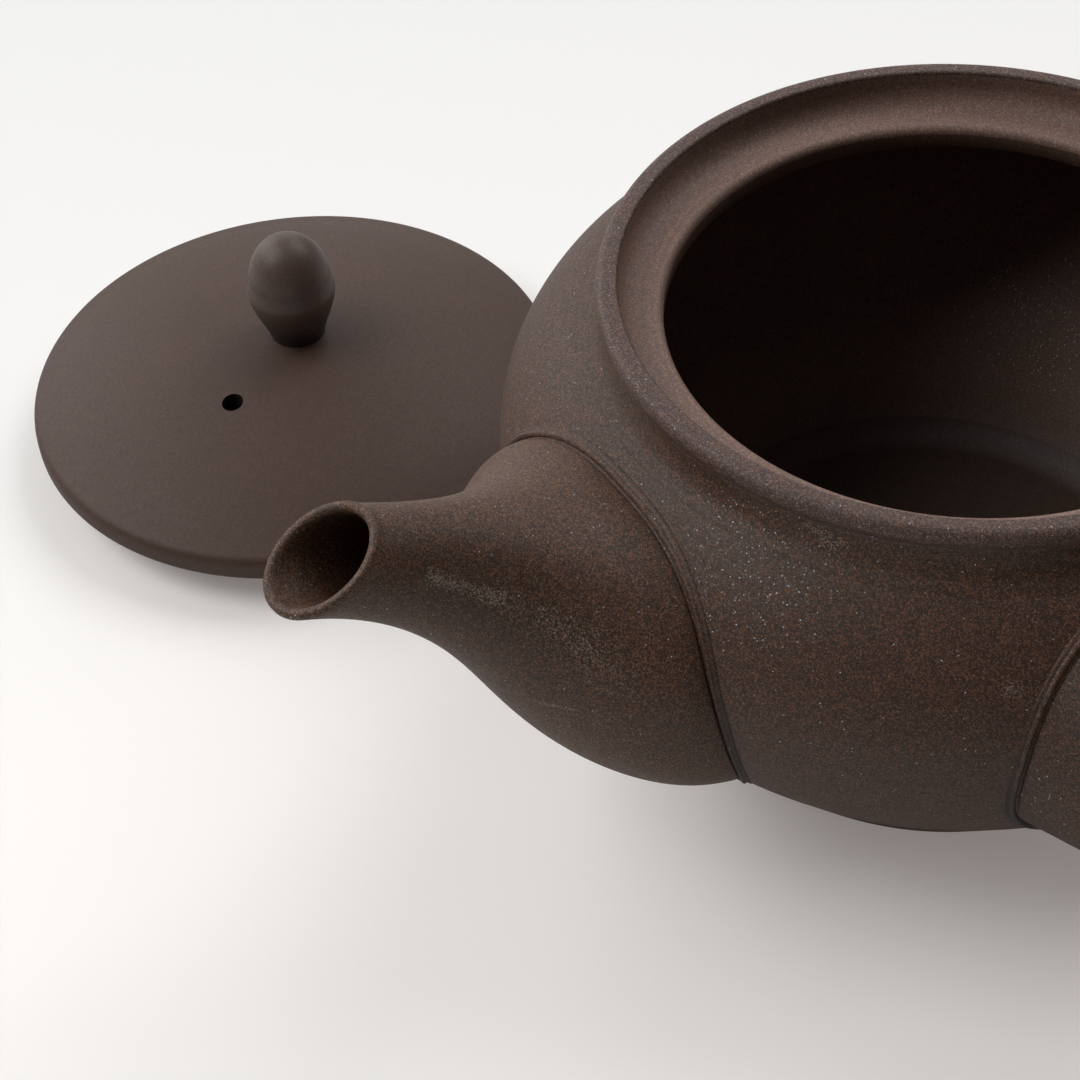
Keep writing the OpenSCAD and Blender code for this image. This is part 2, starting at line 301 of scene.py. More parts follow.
        # The mean of a cube over 0 to 1 is a quarter, so the mean tone stays 1
        few = add("Math", (pick["Green"], 3.0), operation="POWER")[0]
        own = add("MapRange", (few, 0.0, 1.0, 1 - spread, 1 + 3 * spread))[0]
        tone = add("Math", (tone, own), operation="MULTIPLY")[0]
        colour: Any = (*self._plain_ground, 1.0)
        for test, limit, shares in (
            ("LESS_THAN", self.rust_part, self.rust),
            ("GREATER_THAN", 1 - self.grey_part, self.grey),
        ):
            chosen = add("Math", (pick["Red"], limit), operation=test)[0]
            grain = [g * s for g, s in zip(self._plain_ground, self._weak(shares))]
            colour = add(
                "Mix", {"Factor": chosen, "A": colour, "B": (*grain, 1.0)}, data_type="RGBA"
            )["Result"]
        return add("VectorMath", {0: colour, "Scale": tone}, operation="SCALE")[0]

    def _specked(self, add: Add, place: Socket) -> Socket:
        """Strews the mica specks, painted bright as glints, many of them in the patch of painted
        glints.

        Args:
            add: adds a node to the material.
            place: the place on the skin.

        Returns:
            How strong the specks are.
        """
        cells, pick = self._cells(add, place, self.speck_mm)
        dot = add("MapRange", (cells["Distance"], *self.speck_reach, 0.0, self.speck_most))[0]
        share: Any = self.speck_share
        if self.painted_glint_mm:
            middle = tuple(v * MM for v in self.painted_glint_at)
            away = add("VectorMath", (place, middle), operation="DISTANCE")["Value"]
            core, edge = self.painted_glint_core * self.painted_glint_mm * MM, self.painted_glint_mm * MM
            share = add("MapRange", (away, core, edge, self.painted_glint_share, share))[0]
        chosen = add("Math", (pick["Red"], share), operation="LESS_THAN")[0]
        bright = add("Math", (pick["Green"], self.speck_power), operation="POWER")[0]
        shine = add("Math", (dot, bright), operation="MULTIPLY")[0]
        return add("Math", (chosen, shine), operation="MULTIPLY")[0]

    def _rubbed(self, add: Add, place: Socket, pick: Any, rub: Rub) -> Socket:
        """Makes one pale scuffed mark, broken up by the grain.

        Args:
            add: adds a node to the material.
            place: the place on the skin.
            pick: random numbers of each grain.
            rub: the mark.

        Returns:
            How strong the mark is.
        """
        start, line = Vector(rub.start) * MM, (Vector(rub.end) - Vector(rub.start)) * MM
        scaled = line / line.length_squared
        from_start = add("VectorMath", (place, start), operation="SUBTRACT")[0]
        along = add("VectorMath", (from_start, scaled), operation="DOT_PRODUCT")["Value"]
        held = add("MapRange", (along, 0.0, 1.0, 0.0, 1.0))[0]
        nearest = add("VectorMath", {0: line, "Scale": held}, operation="SCALE")[0]
        away = add("VectorMath", (from_start, nearest), operation="DISTANCE")["Value"]
        # Dust caught on single grains, the fewer the further out
        near = add("MapRange", (away, 0.0, rub.half_width * MM, rub.most, 0.0))[0]
        caught = add("Math", (near, pick["Blue"]), operation="GREATER_THAN")[0]
        return add("Math", (caught, rub.strength), operation="MULTIPLY")[0]

    def _wheel_lines(self, add: Add, place: Socket) -> Socket:
        """Makes the fine lines that a rib leaves on turned clay.

        Args:
            add: adds a node to the material.
            place: the place on the skin.

        Returns:
            The lines' height in millimetres.
        """
        axis = (self.axis_mm[0] * MM, self.axis_mm[1] * MM, 0.0)
        from_axis = add("VectorMath", (place, axis), operation="SUBTRACT")[0]
        parts = add("SeparateXYZ", (from_axis,))
        across = parts["Z"]
        if self.turning is Turning.ROUND_THE_LID:
            level = (1.0, 1.0, 0.0)
            flat = add("VectorMath", (from_axis, level), operation="MULTIPLY")[0]
            across = add("VectorMath", (flat,), operation="LENGTH")["Value"]
        long, short = self.line_mm, self.turning_mm
        stretched = [
            add("Math", (part, 1 / (size * MM)), operation="MULTIPLY")[0]
            for part, size in ((parts["X"], long), (parts["Y"], long), (across, short))
        ]
        vector = add("CombineXYZ", stretched)[0]
        lines = add("TexNoise", {"Vector": vector, "Scale": 1.0, "Detail": 2.0})["Fac"]
        # The noise swings over about a quarter, so that four times it is the lines' depth
        return add("Math", (lines, self.turning_depth_mm * 4), operation="MULTIPLY")[0]


@dataclass(frozen=True)
class WhitePaper:
    """Wide sheet of uncoated white paper that the pot stands on: matt, with a fine tooth."""

    name: str = "matt_white_paper"
    colour: str = "ecebe9"
    roughness: float = 0.9
    shine: float = 0.1
    tooth_mm: float = 0.8  # length of the fibres
    tooth_depth_mm: float = 0.03
    # Painted light: glow added to what the camera sees, so that the paper is near white; stronger
    # and a little warm before the pot, where it lightens the pot's shadow, weaker behind it,
    # where the light falls off
    near_glow: Triple = (0.215, 0.193, 0.185)
    far_glow: Triple = (0.065, 0.07, 0.078)
    backwards: Triple = (-0.48, -0.877, 0.0)
    near_mm: float = -20.0
    far_mm: float = 170.0

    def make(self) -> Material:
        """Builds the material.

        Returns:
            The new material.
        """
        material = bpy.data.materials.new(self.name)
        add = emptied(material)
        place = add("TexCoord")["Object"]
        tooth = add(
            "TexNoise", {"Vector": place, "Scale": 1 / (self.tooth_mm * MM), "Detail": 2.0}
        )["Fac"]
        depth = self.tooth_depth_mm * MM
        bump = add("Bump", {"Height": tooth, "Distance": depth, "Strength": 0.5})[0]
        shader = add(
            "BsdfPrincipled",
            {"Base Color": linear(self.colour), "Roughness": self.roughness, "Normal": bump,
             "Specular IOR Level": self.shine},
        )[0]
        behind = add("VectorMath", (place, self.backwards), operation="DOT_PRODUCT")["Value"]
        share = add("MapRange", (behind, self.near_mm * MM, self.far_mm * MM))[0]
        tint = add(
            "Mix",
            {"Factor": share, "A": (*self.near_glow, 1.0), "B": (*self.far_glow, 1.0)},
            data_type="RGBA",
        )["Result"]
        seen = add("LightPath")["Is Camera Ray"]
        glow = add("Emission", {"Color": tint, "Strength": seen})[0]
        both = add("AddShader", (shader, glow))[0]
        add("OutputMaterial", {"Surface": both})
        return material


def mesh_piece(
    name: str, points: Array, faces: list[tuple[int, ...]], *finishes: Material
) -> Piece:
    """Makes a smooth-shaded mesh object from points in millimetres.

    Args:
        name: the piece's name.
        points: one row of three coordinates a vertex.
        faces: vertex numbers of each face, counter-clockwise from outside.
        finishes: the piece's materials, the first of them on every face.

    Returns:
        The new object, linked to the scene.
    """
    mesh = bpy.data.meshes.new(name)
    mesh.from_pydata((points * MM).tolist(), [], faces)
    mesh.shade_smooth()
    for finish in finishes:
        mesh.materials.append(finish)
    return add_object(name, mesh)


def turned(
    name: str, profile: Profile, segments: int, centre: Pair, *finishes: Material
) -> Piece:
    """Makes a piece from a profile turned round an upright axis.

    A profile point on the axis becomes one vertex. The profile runs counter-clockwise seen with
    the axis on its left, so that the faces look outwards.

    Args:
        name: the piece's name.
        profile: points of (radius, height).
        segments: number of faces round.
        centre: where the axis stands.
        finishes: the piece's materials, the first of them on every face.

    Returns:
        The new object, linked to the scene.
    """
    points: list[Triple] = []
    rows: list[list[int]] = []
    for radius, height in profile:
        count = 1 if radius < ON_AXIS else segments
        rows.append(list(range(len(points), len(points) + count)))
        for k in range(count):
            angle = 2 * math.pi * k / segments
            x, y = centre[0] + radius * math.cos(angle), centre[1] + radius * math.sin(angle)
            points.append((x, y, height))
    faces: list[tuple[int, ...]] = []
    for below, above in zip(rows, rows[1:]):
        for k in range(segments):
            m = (k + 1) % segments
            corners = ((below, k), (below, m), (above, m), (above, k))
            # Two corners that are the same point of the axis leave a triangle
            face = tuple(dict.fromkeys(row[i % len(row)] for row, i in corners))
            if len(face) > 2:
                faces.append(face)
    return mesh_piece(name, np.array(points), faces, *finishes)


def cosine(degrees: float) -> float:
    """Cosine of an angle in degrees."""
    return math.cos(math.radians(degrees))


def sine(degrees: float) -> float:
    """Sine of an angle in degrees."""
    return math.sin(math.radians(degrees))


def arc(centre: Pair, half: Pair, start: float, end: float, steps: int) -> Profile:
    """Points of an elliptical arc, its angles in degrees."""
    angles = [start + (end - start) * i / steps for i in range(steps + 1)]
    return [(centre[0] + half[0] * cosine(a), centre[1] + half[1] * sine(a)) for a in angles]


def bezier(points: Sequence[Any], share: Array) -> Array:
    """Draws a cubic curve.

    Args:
        points: its two ends and the two points between them that it leans to.
        share: where on the curve, from 0 to 1.

    Returns:
        The curve at each share.
    """
    a, b, c, d = (np.asarray(p, float) for p in points)
    s = share[:, None] if a.ndim else share
    return (1 - s) ** 3 * a + 3 * s * (1 - s) ** 2 * b + 3 * s * s * (1 - s) * c + s**3 * d


def polar(length: float, degrees: float) -> Array:
    """Vector of a length at an angle, in degrees."""
    return length * np.array([cosine(degrees), sine(degrees)])


def rounded(value: Array, power: Array | float) -> Array:
    """Cosine or sine of a superellipse; a power of 2 leaves it as it is."""
    return np.sign(value) * np.abs(value) ** (2 / power)


def ring_skin(name: str, rings: Sequence[Any], degrees: float, finish: Material) -> Piece:
    """Makes a closed skin from rings of points, the last ring joined to the first.

    Args:
        name: the piece's name.
        rings: every ring's points in millimetres, the same number in each.
        degrees: how far the skin is turned round the pot's axis.
        finish: the piece's material.

    Returns:
        The new object, linked to the scene.
    """
    points = np.array(rings, float)
    count, size = points.shape[:2]
    faces = [
        (i * size + j, (i + 1) % count * size + j,
         (i + 1) % count * size + (j + 1) % size, i * size + (j + 1) % size)
        for i in range(count)
        for j in range(size)
    ]
    spin = np.array(Matrix.Rotation(math.radians(degrees), 3, "Z"))
    piece = mesh_piece(name, points.reshape(-1, 3) @ spin.T, faces, finish)
    bm = bmesh.new()
    bm.from_mesh(piece.data)
    bmesh.ops.remove_doubles(bm, verts=bm.verts, dist=WELD_MM * MM)
    bmesh.ops.recalc_face_normals(bm, faces=bm.faces)
    bm.to_mesh(piece.data)
    bm.free()
    return piece


def cut_hole(piece: Piece, start: Vector, end: Vector, radius_mm: float) -> None:
    """Cuts a round hole through a piece and keeps the result as its mesh.

    Args:
        piece: the object to cut.
        start: middle of one end of the hole's cutter, in millimetres.
        end: middle of the other end.
        radius_mm: the hole's radius.
    """
    bm = bmesh.new()
    axis = (end - start) * MM
    turn = axis.to_track_quat("Z", "Y").to_matrix().to_4x4()
    bmesh.ops.create_cone(
        bm, cap_ends=True, segments=64, radius1=radius_mm * MM, radius2=radius_mm * MM,
        depth=axis.length, matrix=Matrix.Translation((start + end) / 2 * MM) @ turn,
    )
    mesh = bpy.data.meshes.new("cutter")
    bm.to_mesh(mesh)
    bm.free()
    cutter = add_object("cutter", mesh)
    cut = piece.modifiers.new("hole", "BOOLEAN")
    cut.operation, cut.solver, cut.object = "DIFFERENCE", "EXACT", cutter
    bpy.context.view_layer.update()
    evaluated = piece.evaluated_get(bpy.context.evaluated_depsgraph_get())
    result = bpy.data.meshes.new_from_object(evaluated)
    piece.modifiers.clear()
    piece.data = result
    result.shade_smooth()
    result.set_sharp_from_angle(angle=math.radians(HOLE_EDGE_ANGLE))
    bpy.data.objects.remove(cutter)


@dataclass
class PotBody:
    """The thrown body: base, belly, shoulder, neck, lip, seat and the chamber inside."""

    radius: float = 50.6
    belly_z: float = 37.0
    shoulder_h: float = 25.9
    belly_h: float = 36.7
    base_r: float = 30.0
    bevel: float = 0.8
    wall: float = 2.8
    floor_t: float = 5.5
    floor_r: float = 30.47
    throat_r: float = 32.0
    throat_round: float = 1.0
    seat_z: float = 54.0
    ledge_t: float = 3.0
    cove: float = 2.7
    lip_h: float = 4.4
    lip_r: float = 39.3
    lip_t: float = 2.4
    lip_round: float = 1.1
    lip_edge: float = 0.4
    neck_r: float = 38.9
    neck_foot_r: float = 40.6
    line_depth: float = 0.07  # of the fine line cut round the shoulder
    line_half_w: float = 0.22
    line_away: float = 0.75  # from the neck's foot
    pour_r: float = 9.0
    pour_z: float = 31.3
    pour_x: Pair = (26.0, 62.0)  # from where to where the hole is cut
    segments: int = 224
    floor_steps: tuple[float, ...] = (0.92, 0.72, 0.49, 0.26, 0.0)  # shares of the floor's radius

    def touch(self, r: float, z: float, a: float, b: float) -> float:
        """Angle at which a line from (r, z) below touches the belly's ellipse, in degrees."""
        x, y = r / a, (z - self.belly_z) / b
        return math.degrees(math.atan2(y, x) + math.acos(1 / math.hypot(x, y)))

    def flank(self) -> Triple:
        """Angle, radius and height at which the straight foot runs into the belly."""
        angle = self.touch(self.base_r, 0, self.radius, self.belly_h)
        return angle, self.radius * cosine(angle), self.belly_z + self.belly_h * sine(angle)

    def at(self, z: Array | float) -> Array:
        """Works out the outer radius of the body.

        Args:
            z: the height, or several.

        Returns:
            The radius at each height.
        """
        z = np.asarray(z, float)
        _, flank_r, flank_z = self.flank()
        over, under = (z - self.belly_z) / self.shoulder_h, (self.belly_z - z) / self.belly_h
        upper = self.radius * np.sqrt(np.clip(1 - over**2, 0, 1))
        lower = self.radius * np.sqrt(np.clip(1 - under**2, 0, 1))
        foot = self.base_r + (flank_r - self.base_r) * z / flank_z
        return np.where(z > self.belly_z, upper, np.where(z > flank_z, lower, foot))

    def profile(self) -> tuple[Profile, list[int]]:
        """Draws the whole outline: from the base's middle out, up, over the lip and back inside.

        Returns:
            The outline, and the points at which its wall, lip, seat and inner wall end.
        """
        flank, flank_r, flank_z = self.flank()
        neck = math.degrees(math.acos(self.neck_foot_r / self.radius))
        foot_z = self.belly_z + self.shoulder_h * sine(neck)
        slope = math.atan2(self.shoulder_h * cosine(neck), self.radius * sine(neck))
        lean = math.degrees(slope)
        hollow = (self.neck_foot_r - self.neck_r) / (1 - sine(lean))
        top_z = foot_z + hollow * cosine(lean)
        out: Profile = [(0, 0), (8, 0), (16, 0), (24, 0), (self.base_r - self.bevel, 0)]
        out += arc((self.base_r - self.bevel, self.bevel), (self.bevel, self.bevel), -70, -20, 3)
        out += [
            (self.base_r + (flank_r - self.base_r) * s, flank_z * s)
            for s in (0.12, 0.25, 0.4, 0.55, 0.7, 0.85)
        ]
        out += arc((0, self.belly_z), (self.radius, self.belly_h), flank, 0, 44)
        out += arc((0, self.belly_z), (self.radius, self.shoulder_h), 1.5, neck - 3.0, 40)
        out += self._turning_line(neck)
        out += arc((self.neck_r + hollow, top_z), (hollow, hollow), 262 - lean, 180, 10)
        ends = [len(out)]
        for part in (self._lip(top_z), self._seat(), self._inside()):
            out += part
            ends.append(len(out))
        out += [(self.floor_r - 0.8, self.floor_t + 0.02)]
        out += [(self.floor_r * step, self.floor_t) for step in self.floor_steps]
        return out, ends

    def _lip(self, neck_z: float) -> Profile:
        """Draws the lip, flared a little out of the neck, its top a band between two edges.

        Args:
            neck_z: height at which the neck's hollow ends.

        Returns:
            The outline from the neck to the lip's inside.
        """
        z, edge = self.seat_z + self.lip_h, self.lip_round
        side = bezier(
            [(self.neck_r, neck_z), (self.neck_r, neck_z + 0.8),
             (self.lip_r, z - edge - 0.9), (self.lip_r, z - edge)],
            np.linspace(0.15, 0.95, 8),
        )
        inner = self.lip_r - self.lip_t
        out: Profile = [(float(r), float(h)) for r, h in side]
        out += arc((self.lip_r - edge, z - edge), (edge, edge), 0, 84, 9)
        out += [(self.lip_r - self.lip_t * 0.65, z + 0.02), (inner + self.lip_edge + 0.1, z)]
        return out + arc(
            (inner + self.lip_edge, z - self.lip_edge), (self.lip_edge, self.lip_edge), 84, 180, 6
        )

    def _seat(self) -> Profile:
        """Draws the wide hollow curve inside the lip, the flat seat and the throat's soft edge.

        Returns:
            The outline from the lip's inside to the throat.
        """
        inner, edge = self.lip_r - self.lip_t, self.throat_round
        z, seat_in = self.seat_z, self.throat_r + edge
        out = arc((inner - self.cove, z + self.cove), (self.cove, self.cove), 0, -90, 16)
        # A faint step of 0.05 mm, where the rib stopped
        out += [(seat_in + 0.55, z), (seat_in + 0.42, z - 0.05), (seat_in + 0.3, z - 0.05)]
        return out + arc((seat_in, z - edge), (edge, edge), 86, 180, 8)

    def _inside(self) -> Profile:
        """Draws the wall inside.

        Returns:
            The outline from under the throat down to the floor's edge.
        """
        ledge_z = self.seat_z - self.ledge_t
        out: Profile = [(self.throat_r, ledge_z + 0.4), (self.throat_r + 0.35, ledge_z)]
        a, b = self.radius - self.wall, self.shoulder_h - self.wall
        ledge = math.degrees(math.asin((ledge_z - self.belly_z) / b))
        out += arc((0, self.belly_z), (a, b), ledge, 1.5, 26)
        b = self.belly_h - self.wall
        inside = self.touch(self.floor_r, self.floor_t, a, b)
        out += arc((0, self.belly_z), (a, b), 0, inside, 36)
        r, z = a * cosine(inside), self.belly_z + b * sine(inside)
        return out + [
            (self.floor_r + (r - self.floor_r) * s, self.floor_t + (z - self.floor_t) * s)
            for s in (0.75, 0.5, 0.3, 0.15)
        ]

    def _turning_line(self, neck: float) -> Profile:
        """Draws the shoulder's last stretch, with the fine line cut round it under the neck.

        Args:
            neck: angle at which the neck's foot stands on the shoulder's ellipse.

        Returns:
            The outline.
        """
        line: Profile = []
        shoulder = (self.radius, self.shoulder_h)
        for r, z in arc((0, self.belly_z), shoulder, neck - 2.6, neck - 0.3, 10):
            away = (r - (self.neck_foot_r + self.line_away)) / self.line_half_w
            depth = self.line_depth * math.exp(-(away**2))
            line.append((r - depth * 0.6, z - depth * 0.8))
        return line

    def build(self, *finishes: Material) -> Piece:
        """Makes the body with its pouring hole.

        Args:
            finishes: of the wall outside, the lip, the seat, the wall inside, darkened by painted
                shade low down, and the floor, painted dark as shade.

        Returns:
            The piece.
        """
        profile, ends = self.profile()
        piece = turned("thrown_body", profile, self.segments, (0.0, 0.0), *finishes)
        # One row of faces for each step of the outline, the first row round its middle point
        for face in piece.data.polygons:
            row = face.index // self.segments
            face.material_index = sum(row >= end - 1 for end in ends)
        start, end = (Vector((x, 0, self.pour_z)) for x in self.pour_x)
        cut_hole(piece, start, end, self.pour_r)
        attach(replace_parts(piece, "pot_body"), "pot")
        return piece


@dataclass
class Horn:
    """A hollow flared piece, cut to the curve of the body: the spout or the handle.

    The top and low lines are cubic curves of (distance from the pot's axis, height).
    """

    name: str
    body: PotBody
    root_z: float
    root_h: float
    root_w: float
    top_line: list[Array]
    low_line: list[Array]
    half_widths: list[float]
    root_wall: float
    tip_wall: float
    turn: float = 0.0
    slip: float = 0.1
    root_power: float = 2.3
    around: int = 120
    along: int = 70
    root_round: float = 0.28
    # Where the root's rounding has its rings, and how far from the root the skin is plain again
    root_rings: tuple[float, ...] = (0.0, 0.04, 0.1, 0.17, 0.25)
    root_end: float = 0.3
    # The rim's flat cut with its small roundings, as shares of the wall at the tip
    rim: tuple[Pair, ...] = ((0.04, 0.39), (0.17, 0.59), (0.39, 0.65), (0.65, 0.63), (0.87, 0.43))

    def surface(self, share: Array, inset: Array | float, fitted: bool = True) -> Array:
        """Works out points of the skin.

        Args:
            share: shares of the length.
            inset: how far the skin is drawn in, at each share or at all of them.
            fitted: whether the root is moved onto the body.

        Returns:
            An array of shares by points round by three coordinates.
        """
        t = np.arange(self.around) * 2 * np.pi / self.around
        top, low = (bezier(line, share)[:, None] for line in (self.top_line, self.low_line))
        drawn = np.broadcast_to(inset, share.shape)[:, None]
        half = np.linalg.norm(top - low, axis=2) / 2
        power = 2 + (self.root_power - 2) * (1 - share[:, None]) ** 2
        up = rounded(np.sin(t)[None], power) * (1 - drawn / half)
        flat = (top + low) / 2 + (top - low) / 2 * up[..., None]
        wide = bezier(self.half_widths, share)[:, None] - drawn
        across = wide * rounded(np.cos(t)[None], power)
        points = np.stack([flat[..., 0], across, flat[..., 1]], -1)
        if fitted:
            x, y, z = np.moveaxis(self.surface(0 * share, inset, fitted=False), -1, 0)
            on_body = np.sqrt(np.clip(self.body.at(z) ** 2 - y**2, 0, None)) + self.slip
            points[..., 0] += (on_body - x) * ((1 - share) ** 2)[:, None]
        return points

    def rings(self) -> list[Array]:
        """Puts together the skin: rounded root, outside, lip, and back along the inside.

        Returns:
            Every ring's points.
        """
        share = np.linspace(0, 1, self.along + 1) ** 1.15
        outside = self.surface(share, 0.0)
        wall = self.root_wall + (self.tip_wall - self.root_wall) * share
        inside = self.surface(share, wall)
        axis = self.top_line[-1] - self.low_line[-1]
        out = np.abs(np.array([axis[1], 0, axis[0]])) / np.linalg.norm(axis)
        lip = [
            self.surface(np.array([1.0]), inset * self.tip_wall)[0] + out * rise * self.tip_wall
            for inset, rise in self.rim
        ]
        return self._rounded_root(outside) + lip + list(inside[::-1])

    def _rounded_root(self, outside: Array) -> list[Array]:
        """Rounds the outside's first fraction of a millimetre in, so that the joint shows.

        Args:
            outside: the rings of the outside.

        Returns:
            The rings with the rounding.
        """
        step = np.linalg.norm(np.diff(outside, axis=0), axis=2)
        far = np.concatenate([np.zeros((1, self.around)), np.cumsum(step, axis=0)])
        inward = outside.mean(axis=1, keepdims=True) - outside
        inward[..., 0] = 0
        inward /= np.linalg.norm(inward, axis=2, keepdims=True)
        r = self.root_round
        near = []
        for distance in self.root_rings:
            ring = [
                [np.interp(distance, far[:, k], outside[:, k, c]) for c in range(3)]
                for k in range(self.around)
            ]
            drop = r - math.sqrt(max(0.0, r * r - (r - distance) ** 2))
            near.append(np.array(ring) + inward[0] * drop)
        # A point inside the rounding closes up to its last ring
        plain, rest = far[1:, :, None] >= self.root_end, outside[1:]
        return near + list(np.where(plain, rest, near[-1] + (rest - near[-1]) * 1e-3))

    def build(self, finish: Material) -> Piece:
        """Makes the closed skin and turns it to its side of the pot."""
        return ring_skin(self.name, self.rings(), self.turn, finish)


@dataclass
class SeamBead:
    """Bead of soft clay pressed round a root, crisp at its inner edge, fainter at the top."""

    name: str
    horn: Horn
    width: float = 1.0
    height: float = 0.3
    low_part: float = 0.35  # how much more it stands out under the root than over it
    points_round: int = 240
    # (share of the width, share of the height) from the inner edge out. The last stretch is the
    # pressed edge outside the ridge
    section: tuple[Pair, ...] = (
        (0.0, -0.8), (0.06, 0.1), (0.14, 0.5), (0.24, 0.88), (0.35, 1.0), (0.45, 0.85),
        (0.53, 0.45), (0.59, 0.1), (0.65, 0.06), (0.94, 0.05), (1.0, -0.8),
    )
    edge_points: int = 4

    def _point(self, t: float, out: float, rise: float) -> Triple:
        """Works out one point of the bead.

        Args:
            t: angle round the root.
            out: distance from the root's outline.
            rise: height over the body's skin.

        Returns:
            The point.
        """
        horn, away = self.horn, self.horn.slip + out
        y = (horn.root_w + away) * rounded(np.cos(t), horn.root_power)
        z = horn.root_z + (horn.root_h + away) * rounded(np.sin(t), horn.root_power)
        x = math.sqrt(float(horn.body.at(z)) ** 2 - y * y) + horn.slip
        # How fast the body widens upwards
        grow = float(horn.body.at(z + 0.05) - horn.body.at(z - 0.05)) / 0.1
        lift = rise / math.hypot(1, grow)
        level = math.hypot(x, y)
        return float(x + lift * x / level), float(y + lift * y / level), float(z - lift * grow)

    def build(self, ridge: Material, edge: Material) -> Piece:
        """Makes the bead as one closed ring.

        Args:
            ridge: finish of the bead itself.
            edge: finish of the dark pressed edge outside it.

        Returns:
            The piece.
        """
        rings = []
        for i in range(self.points_round):
            t = 2 * math.pi * i / self.points_round
            # Pressed by hand, so it swells a little here and there
            wave = 1 + 0.05 * math.sin(3 * t + 0.6) + 0.03 * math.sin(11 * t)
            height = self.height * wave * (1 - self.low_part * math.sin(t))
            rings.append(
                [self._point(t, out * self.width, rise * height) for out, rise in self.section]
            )
        piece = ring_skin(self.name, rings, self.horn.turn, ridge)
        piece.data.materials.append(edge)
        size = len(self.section)
        for face in piece.data.polygons:
            face.material_index = int(face.index % size >= size - self.edge_points)
        return piece


